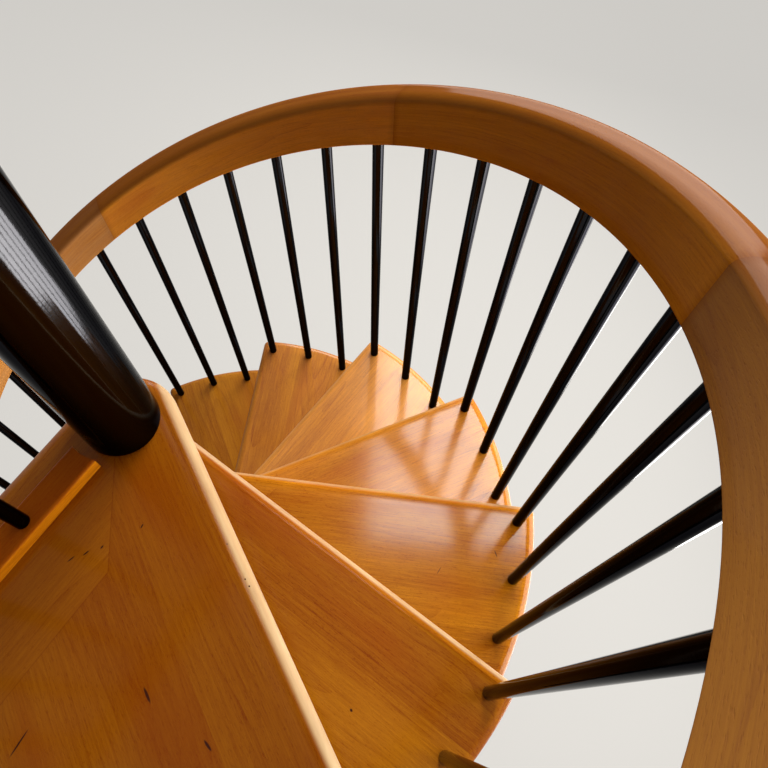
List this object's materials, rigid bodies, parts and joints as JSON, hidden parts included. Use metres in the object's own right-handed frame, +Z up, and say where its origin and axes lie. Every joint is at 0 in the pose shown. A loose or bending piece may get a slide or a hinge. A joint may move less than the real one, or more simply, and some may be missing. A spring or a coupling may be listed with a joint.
{
  "type": "spiral staircase",
  "caption": "Spiral staircase: wooden wedge treads stacked on a round steel post, with rod balusters, a helical wooden handrail, a landing and its guard.",
  "frame": {"origin": "on the floor, at the middle of the base plate's underside, on the post's axis", "axes": "+Z up along the post; the landing points along -Y and its straight outer edge is parallel to X; going up, the treads turn clockwise as seen from above"},
  "size_m": [1.2996, 1.3064, 3.654],
  "materials": {
    "beech": "gloss lacquer",
    "rail_beech": "gloss lacquer",
    "black_gloss": "gloss",
    "bare_steel": "mill"
  },
  "bodies": {
    "root": {"base_plate": "black_gloss", "core_tube": "bare_steel", "post_sleeves": "black_gloss", "upper_post": "black_gloss", "post_cap": "black_gloss", "tread_01": "beech", "tread_02": "beech", "tread_03": "beech", "tread_04": "beech", "tread_05": "beech", "tread_06": "beech", "tread_07": "beech", "tread_08": "beech", "tread_09": "beech", "tread_10": "beech", "tread_11": "beech", "tread_12": "beech", "landing": "beech", "landing_kerb": "beech", "landing_bracket": "black_gloss", "balusters_01": "black_gloss", "balusters_02": "black_gloss", "balusters_03": "black_gloss", "balusters_04": "black_gloss", "balusters_05": "black_gloss", "balusters_06": "black_gloss", "balusters_07": "black_gloss", "balusters_08": "black_gloss", "balusters_09": "black_gloss", "balusters_10": "black_gloss", "balusters_11": "black_gloss", "balusters_12": "black_gloss", "landing_baluster": "black_gloss", "handrail_1": "rail_beech", "handrail_2": "rail_beech", "handrail_3": "rail_beech", "handrail_4": "rail_beech", "handrail_5": "rail_beech", "handrail_6": "rail_beech", "guard_balusters": "black_gloss", "guard_rail": "rail_beech"}
  },
  "joints": []
}
